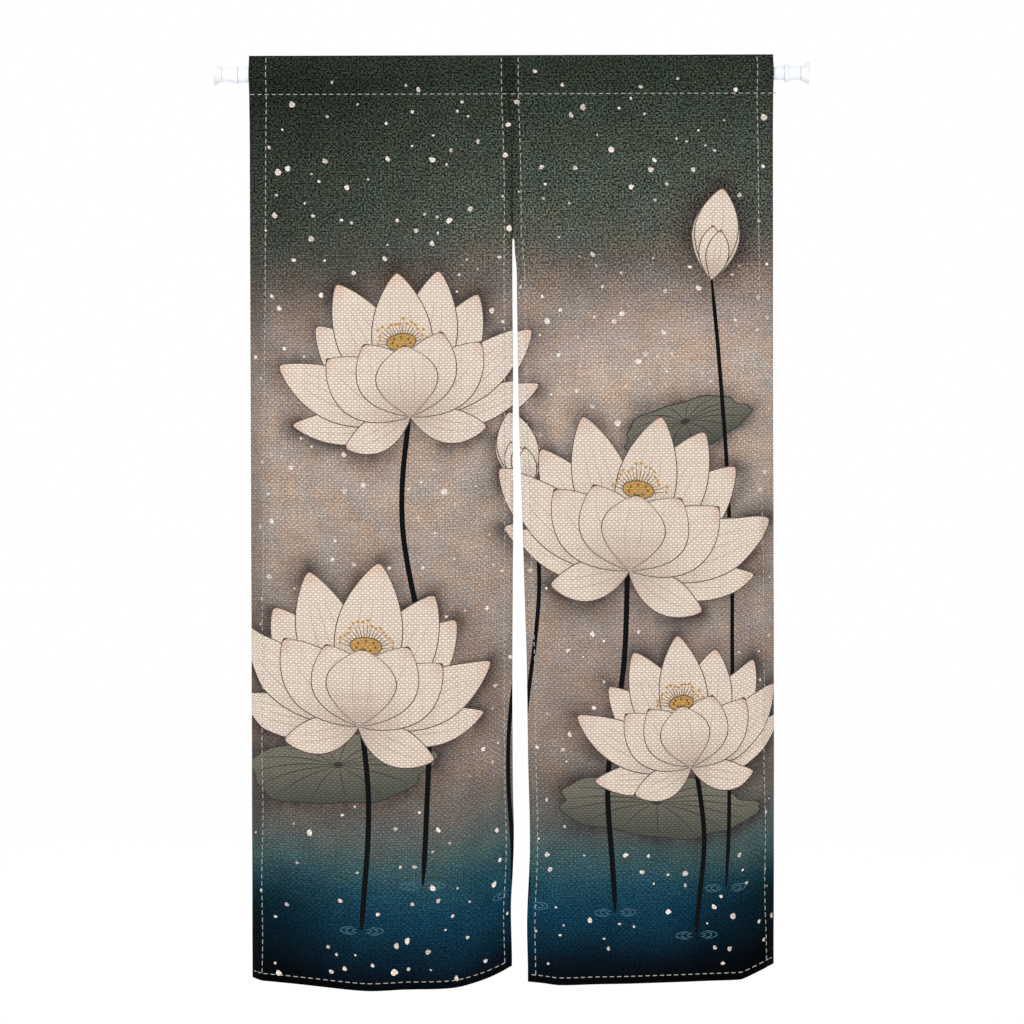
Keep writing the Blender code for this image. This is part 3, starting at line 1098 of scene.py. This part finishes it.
def rounded(profile, radius):
    """The same section with its corners rounded."""
    made = [profile[0]]
    for before, corner, after in zip(profile, profile[1:], profile[2:]):
        before, corner, after = (np.array(p, float) for p in (before, corner, after))
        into, away = before - corner, after - corner
        room = min(radius, 0.45 * np.linalg.norm(into), 0.45 * np.linalg.norm(away))
        start = corner + into / np.linalg.norm(into) * room
        end = corner + away / np.linalg.norm(away) * room
        for t in np.linspace(0, 1, ROUNDING_STEPS + 1):
            made.append(tuple((1 - t) ** 2 * start + 2 * t * (1 - t) * corner + t**2 * end))
    made.append(profile[-1])
    return made


def tube_section(start, end, radius):
    bore = radius - TUBE_WALL
    corners = ((start, bore), (start, radius), (end, radius), (end, bore))
    return rounded(corners, TUBE_ROUNDING)


def cap_section(side, tube_radius):
    """A plug in the tube's mouth, a collar against its end, a waisted neck and a boss."""
    plug = tube_radius - TUBE_WALL - GAP
    collar_start = TUBE_END + GAP
    corners = (
        (SPIGOT_START, END_FACE),
        (SPIGOT_START, plug),
        (collar_start, plug),
        (collar_start, COLLAR_RADIUS),
        (COLLAR_END, COLLAR_RADIUS),
        *CAP_PROFILE,
        (CAP_PROFILE[-1][0], BOSS_RADIUS),
        (BOSS_END, BOSS_RADIUS),
        (BOSS_END, END_FACE),
    )
    return [(side * along, radius) for along, radius in rounded(corners, CAP_ROUNDING)]


def pad_section(side):
    """A flared rubber foot whose socket takes the cap's boss."""
    socket, bottom = BOSS_RADIUS + GAP, BOSS_END + GAP
    corners = (
        (bottom, END_FACE),
        (bottom, socket),
        (PAD_PROFILE[0][0], socket),
        *PAD_PROFILE,
        (ROD_END, END_FACE),
    )
    return [(side * along, radius) for along, radius in rounded(corners, PAD_ROUNDING)]


# Materials


def new_material(name):
    material = bpy.data.materials.new(name)
    material.use_nodes = True
    tree = material.node_tree
    return material, tree.nodes["Principled BSDF"], Nodes(tree)


class Nodes:
    """Short names for the few kinds of node that the materials use."""

    def __init__(self, tree):
        self.tree = tree

    def add(self, kind, **settings):
        node = self.tree.nodes.new(kind)
        for key, value in settings.items():
            setattr(node, key, value)
        return node

    def link(self, source, target):
        if isinstance(source, (int, float)):
            target.default_value = source
        elif isinstance(source, tuple):
            target.default_value = (*source, 1.0) if len(target.default_value) == 4 else source
        else:
            self.tree.links.new(source, target)

    def math(self, operation, a, b=0.0, c=0.0):
        node = self.add("ShaderNodeMath", operation=operation)
        for value, socket in zip((a, b, c), node.inputs):
            self.link(value, socket)
        return node.outputs[0]

    def times(self, first, *others):
        for other in others:
            first = self.math("MULTIPLY", first, other)
        return first

    def most(self, first, *others):
        for other in others:
            first = self.math("MAXIMUM", first, other)
        return first

    def scaled(self, value, by, plus=0.0):
        return self.math("MULTIPLY_ADD", value, by, plus)

    def distance(self, value, place):
        return self.math("ABSOLUTE", self.math("SUBTRACT", value, place))

    def mix(self, share, a, b, blend="MIX"):
        node = self.add("ShaderNodeMix", data_type="RGBA", blend_type=blend)
        self.link(share, node.inputs[0])
        self.link(a, node.inputs[6])
        self.link(b, node.inputs[7])
        return node.outputs[2]

    def noise(self, place, scale, detail=2.0, rough=0.5):
        node = self.add("ShaderNodeTexNoise")
        self.link(place, node.inputs["Vector"])
        for name, value in (("Scale", scale), ("Detail", detail), ("Roughness", rough)):
            node.inputs[name].default_value = value
        return node.outputs["Fac"]

    def ranged(self, kind, *values):
        """A value from low to high, brought to a new low and high."""
        node = self.add("ShaderNodeMapRange", interpolation_type=kind)
        names = ("Value", "From Min", "From Max", "To Min", "To Max")
        for source, name in zip(values, names):
            self.link(source, node.inputs[name])
        return node.outputs["Result"]

    def ease(self, value, low, high, to_low=0.0, to_high=1.0):
        """to_low at low and to_high at high, smooth between and level beyond."""
        return self.ranged("SMOOTHSTEP", value, low, high, to_low, to_high)

    def spread(self, value, low, high):
        """0 at low and 1 at high, straight between."""
        return self.ranged("LINEAR", value, low, high)

    def combine(self, x, y, z=0.0):
        node = self.add("ShaderNodeCombineXYZ")
        for value, socket in zip((x, y, z), node.inputs):
            self.link(value, socket)
        return node.outputs[0]

    def dim(self, colour, *shares):
        """A colour times shares of red, green and blue, or one share for all three."""
        if len(shares) == 1:
            shares = shares * 3
        return self.mix(1.0, colour, self.combine(*shares), "MULTIPLY")

    def relief(self, shader, height, strength, distance):
        bump = self.add("ShaderNodeBump")
        bump.inputs["Strength"].default_value = strength
        bump.inputs["Distance"].default_value = distance
        self.link(height, bump.inputs["Height"])
        self.link(bump.outputs[0], shader.inputs["Normal"])


# The dyed ground, from the crease down
GROUND = (  # down, colour
    (-0.07, (52, 59, 51)),
    (0.03, (46, 53, 45)),
    (0.24, (74, 81, 71)),
    (0.31, (89, 90, 81)),
    (0.35, (109, 100, 92)),
    (0.46, (170, 152, 141)),
    (0.54, (186, 168, 154)),
    (1.12, (144, 128, 118)),
    (1.19, (116, 106, 97)),
    (1.29, (66, 90, 92)),
    (1.34, (32, 72, 86)),
    (1.385, (17, 58, 78)),
    (1.47, (6, 20, 31)),
    (1.50, (4, 7, 11)),
)


def ground_ramp(nodes, down):
    """The shading of the ground. Two ramps meet in the middle, so that each has finer steps."""
    half = len(GROUND) // 2
    parts = []
    for rows in (GROUND[: half + 1], GROUND[half:]):
        low, high = rows[0][0], rows[-1][0]
        node = nodes.add("ShaderNodeValToRGB")
        nodes.link(nodes.spread(down, low, high), node.inputs[0])
        stops = node.color_ramp.elements
        while len(stops) < len(rows):
            stops.new(0.5)
        for stop, (place, colour) in zip(stops, rows):
            stop.position = (place - low) / (high - low)
            stop.color = (*from_srgb(colour), 1.0)
        parts.append(node.outputs[0])
    below = nodes.math("GREATER_THAN", down, GROUND[half][0])
    return nodes.mix(below, parts[0], parts[1])


def weave_height(nodes, x, y):
    """Plain weave, from 0 to 1: weft floats stand up in a brick bond, and furrows part the rows
    and, less deeply, the columns."""
    across = nodes.math("COSINE", nodes.times(x, math.pi / WARP_PITCH))
    along = nodes.math("SINE", nodes.times(y, math.pi / WEFT_PITCH))
    crossing = nodes.times(across, along, 0.62)
    row = nodes.math("ABSOLUTE", along)
    column = nodes.math("ABSOLUTE", across)
    return nodes.ease(nodes.scaled(column, 0.60, nodes.scaled(row, 1.10, crossing)), 0.2, 2.0)


# The cloth's material. Its x and y are places on the flat cloth, across and down from the crease,
# in metres, so ease goes from one such place to another and gives a share of light or colour.


def ground_painted_shade_and_tone(nodes, x, y):
    """How much of the ground's colour is kept, as a share. It holds painted shade at the left hem,
    where the hem curls away from the light, and painted shade where the cloth lies doubled: along
    the sewn join, on the side hems near the foot and on the turned cloth of the foot. The ground is
    also darker at the left of the top and in the foot's corners."""
    # painted shade on the left hem, which curls away from the light
    hem = nodes.times(
        nodes.ease(x, 0.012, 0.055, 0.40, 0.0),
        nodes.ease(y, 0.06, 0.12),
        nodes.ease(y, 1.22, 1.34, 1.0, 0.15),
    )
    top = nodes.times(nodes.ease(x, 0.0, 0.45, 0.40, 0.0), nodes.ease(y, 0.28, 0.44, 1.0, 0.2))
    # painted shade on the doubled cloth along the sewn join
    from_join = nodes.distance(x, CLOTH_WIDTH / 2 + SEAM_X)
    join_end = nodes.ease(y, 0.25, 0.34, 1.0, 0.0)
    join_painted_shade = nodes.times(nodes.ease(from_join, 0.009, 0.018, 0.28, 0.0), join_end)
    from_middle = nodes.distance(x, CLOTH_WIDTH / 2)
    corner = nodes.times(nodes.ease(from_middle, 0.18, 0.40), nodes.ease(y, 1.26, 1.39, 0.0, 0.72))
    light = nodes.math("SUBTRACT", 1.0, nodes.most(hem, top, join_painted_shade, corner))

    # painted shade on the doubled side hems near the foot and on the turned foot hem
    from_side = nodes.math("MINIMUM", x, nodes.math("SUBTRACT", CLOTH_WIDTH, x))
    side_hem_painted_shade = nodes.times(nodes.ease(from_side, 0.024, 0.030, 1.0, 0.0), nodes.ease(y, 1.30, 1.44))
    foot_line = DROP - FOOT_LINE
    foot_hem_painted_shade = nodes.ease(y, foot_line - 0.002, foot_line + 0.002)
    return nodes.times(light, nodes.scaled(nodes.most(side_hem_painted_shade, foot_hem_painted_shade), -0.5, 1.0))


def dyed_ground(nodes, uv, x, y):
    """The ground's colours: cloudy, with a smoky halo round the large printed forms, and with the
    printing's grain, strongest where it is dark, and its blots in green and red-brown. Painted
    shade darkens it at the hems, along the sewn join and at the foot."""
    drift = nodes.scaled(nodes.noise(uv, 5.0, 3.0), 0.07, -0.035)
    off_middle = nodes.math("SUBTRACT", x, CLOTH_WIDTH / 2)
    lean = nodes.times(off_middle, nodes.ease(y, 1.05, 1.35, 0.07, 0.015))
    ground = ground_ramp(nodes, nodes.math("ADD", nodes.math("ADD", y, lean), drift))
    halo = nodes.add("ShaderNodeAttribute", attribute_name="halo").outputs["Fac"]
    smoky = nodes.times(halo, nodes.ease(nodes.noise(uv, 14.0, 3.0), 0.35, 0.62, 0.45, 0.95))
    ground = nodes.mix(smoky, ground, from_srgb(SMOKE))

    grain = nodes.ease(nodes.noise(uv, 310.0, 2.0, 0.7), 0.36, 0.66, -1.0, 1.15)
    rough = nodes.most(nodes.ease(y, 0.22, 0.46, 0.95, 0.27), nodes.ease(y, 1.20, 1.34, 0.0, 0.45))
    clouds = nodes.ease(nodes.noise(uv, 26.0, 4.0, 0.6), 0.34, 0.66, 0.91, 1.09)
    # the painted shade at the hems, the sewn join and the foot, times the printing's grain and
    # clouds
    light = nodes.times(ground_painted_shade_and_tone(nodes, x, y), nodes.scaled(grain, rough, 1.0), clouds)
    tint = nodes.ease(nodes.noise(uv, 18.0, 4.0, 0.65), 0.36, 0.64, 0.94, 1.06)
    warm = nodes.times(light, nodes.math("SUBTRACT", 2.0, tint))
    return nodes.dim(ground, warm, light, nodes.times(light, tint))


def yarns(nodes, uv, x, y):
    """The weave's height, and a share for its yarns' colour: uneven in tone along the slubs, and
    with painted shade where the yarns dip into the furrows.
    """
    uneven_x = nodes.scaled(nodes.noise(uv, 60.0, 2.0), 0.0034, x)
    uneven_y = nodes.scaled(nodes.noise(uv, 45.0, 2.0), 0.0032, y)
    height = weave_height(nodes, uneven_x, uneven_y)
    warp_slub = nodes.noise(nodes.combine(nodes.times(x, 230.0), nodes.times(y, 9.0)), 1.0)
    weft_slub = nodes.noise(nodes.combine(nodes.times(x, 9.0), nodes.times(y, 240.0)), 1.0)
    slub = nodes.scaled(nodes.math("ADD", warp_slub, weft_slub), 0.24, 0.58)
    # painted shade in the weave's furrows, times the slubs' uneven tone
    return height, nodes.times(nodes.scaled(height, 0.66, 0.62), slub)


def cloth_material(name, reverse=False):
    """Printed cloth, or its back, through which the print shows faintly."""
    material, shader, nodes = new_material(name)
    uv = nodes.add("ShaderNodeUVMap", uv_map="flat").outputs[0]
    apart = nodes.add("ShaderNodeSeparateXYZ")
    nodes.link(uv, apart.inputs[0])
    x, y = apart.outputs[0], apart.outputs[1]
    ink = nodes.add("ShaderNodeAttribute", attribute_name="ink")
    ground = dyed_ground(nodes, uv, x, y)
    height, slub_tone_and_furrow_shade = yarns(nodes, uv, x, y)
    # the weave's painted furrow shade and its slubs' uneven tone, over print and ground
    colour = nodes.dim(nodes.mix(ink.outputs["Alpha"], ground, ink.outputs["Color"]), slub_tone_and_furrow_shade)
    if reverse:
        colour = nodes.dim(nodes.mix(0.58, colour, from_srgb(BARE_CLOTH)), slub_tone_and_furrow_shade)
    nodes.link(colour, shader.inputs["Base Color"])
    fibre = nodes.noise(uv, 1500.0, 2.0, 0.7)
    nodes.relief(shader, nodes.scaled(fibre, 0.25, height), 0.55, 0.0007)
    shader.inputs["Roughness"].default_value = 0.88
    shader.inputs["Specular IOR Level"].default_value = 0.03
    return material


def object_place(nodes):
    return nodes.add("ShaderNodeTexCoord").outputs["Object"]


def thread_material():
    material, shader, nodes = new_material("thread")
    place = object_place(nodes)
    tone = nodes.ease(nodes.noise(place, 900.0, 2.0), 0.35, 0.65)
    colour = nodes.mix(tone, from_srgb((140, 144, 138)), from_srgb((178, 182, 174)))
    nodes.link(colour, shader.inputs["Base Color"])
    nodes.relief(shader, nodes.noise(place, 2600.0, 1.0), 0.4, 0.0002)
    shader.inputs["Roughness"].default_value = 0.7
    return material


def plastic_material(name, colour, roughness, grain, coat=0.0):
    """White enamel, plastic or rubber, with faint clouding, wear and surface grain."""
    material, shader, nodes = new_material(name)
    place = object_place(nodes)
    cloud = nodes.ease(nodes.noise(place, 60.0, 3.0), 0.35, 0.7)
    shade = tuple(c * 0.93 for c in colour)
    nodes.link(nodes.mix(cloud, from_srgb(colour), from_srgb(shade)), shader.inputs["Base Color"])
    rough = nodes.ease(nodes.noise(place, 140.0, 2.0), 0.3, 0.7, roughness * 0.85, roughness * 1.2)
    nodes.link(rough, shader.inputs["Roughness"])
    nodes.relief(shader, nodes.noise(place, 1200.0, 2.0), 0.25, grain)
    shader.inputs["Coat Weight"].default_value = coat
    return material


# Floor, light and camera


def build_floor():
    mesh = bpy.data.meshes.new("floor")
    r = FLOOR_REACH
    corners = [(-r, -r, FLOOR_Z), (r, -r, FLOOR_Z), (r, r, FLOOR_Z), (-r, r, FLOOR_Z)]
    mesh.from_pydata(corners, [], [(0, 1, 2, 3)])
    material, shader, _ = new_material("floor")
    shader.inputs["Base Color"].default_value = (0.98, 0.98, 0.98, 1.0)
    shader.inputs["Roughness"].default_value = 0.9
    mesh.materials.append(material)
    put_in_scene("floor", mesh)


def build_light():
    world = bpy.data.worlds.new("studio")
    bpy.context.scene.world = world
    world.use_nodes = True
    background = world.node_tree.nodes["Background"]
    background.inputs["Color"].default_value = (1.0, 1.0, 1.0, 1.0)
    background.inputs["Strength"].default_value = 1.0
    for name, place, size, power in LAMPS:
        light = bpy.data.lights.new(name, "AREA")
        light.size = size
        light.energy = power
        lamp = put_in_scene(name, light)
        lamp.location = place
        lamp.rotation_mode = "QUATERNION"
        aim = Vector(LIT_PLACE) - Vector(place)
        lamp.rotation_quaternion = aim.to_track_quat("-Z", "Y")


def build_camera():
    camera = bpy.data.cameras.new("camera")
    camera.sensor_width = SENSOR
    camera.lens = SENSOR * CAMERA_DISTANCE / (PHOTO_PIXELS * METRES_PER_PIXEL)
    camera.clip_end = 100
    middle = PHOTO_PIXELS / 2
    x = (middle - OBJECT_PIXEL[0]) * METRES_PER_PIXEL
    z = CREASE_Z - DROP / 2 - (middle - OBJECT_PIXEL[1]) * METRES_PER_PIXEL
    eye = put_in_scene("camera", camera)
    place = Matrix.Translation((x, -CAMERA_DISTANCE, z))
    level = Matrix.Rotation(math.pi / 2, 4, "X")
    eye.matrix_world = place @ level @ Matrix.Rotation(-CAMERA_ROLL, 4, "Z")
    bpy.context.scene.camera = eye


# Making everything

print_side = cloth_material("printed_side")
plain_side = cloth_material("plain_side", reverse=True)
thread = thread_material()
enamel = plastic_material("white_enamel", (224, 228, 236), 0.30, 0.00005, 0.25)
plastic = plastic_material("white_plastic", (222, 225, 232), 0.38, 0.00006)
rubber = plastic_material("pale_rubber", (224, 225, 225), 0.65, 0.00010)

half_width = CLOTH_WIDTH / 2
panels = (
    Panel(
        "left",
        -half_width,
        SEAM_X - GAP / 2,
        (LEFT_HEM, LEFT_GROWTH, (LEFT_OUTER_SWAY,), (JOIN_SWAY, LEFT_SLIT_SWAY)),
        (SIDE_HEM, SLIT_HEM),
        (LEFT_CURL, 0),
    ),
    Panel(
        "right",
        SEAM_X + GAP / 2,
        half_width,
        (RIGHT_HEM, RIGHT_GROWTH, (JOIN_SWAY, RIGHT_SLIT_SWAY), (RIGHT_OUTER_SWAY,)),
        (SLIT_HEM, SIDE_HEM),
        (0, RIGHT_CURL),
    ),
)
design = lotus_pond()
for panel in panels:
    cloth = build_cloth(panel, design, (print_side, plain_side))
    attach(cloth, "root")
    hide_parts(f"{panel.name}_panel")
    stitching = build_stitching(panel, thread)
    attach(stitching, "root")

for node, section, material, slot in (
    ("rod_outer_tube", tube_section(-TUBE_END, OVERLAP, OUTER_TUBE_RADIUS), enamel, "rod"),
    ("rod_inner_tube", tube_section(-OVERLAP, TUBE_END, INNER_TUBE_RADIUS), enamel, "rod"),
    ("left_end_cap", cap_section(-1, OUTER_TUBE_RADIUS), plastic, "cap"),
    ("right_end_cap", cap_section(1, INNER_TUBE_RADIUS), plastic, "cap"),
    ("left_foot_pad", pad_section(-1), rubber, "pad"),
    ("right_foot_pad", pad_section(1), rubber, "pad"),
):
    piece = build_turned(f"{node}_turned", section, material)
    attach(piece, "root")
    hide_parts(node)

build_floor()
build_light()
build_camera()
bpy.context.scene.view_settings.view_transform = "Standard"
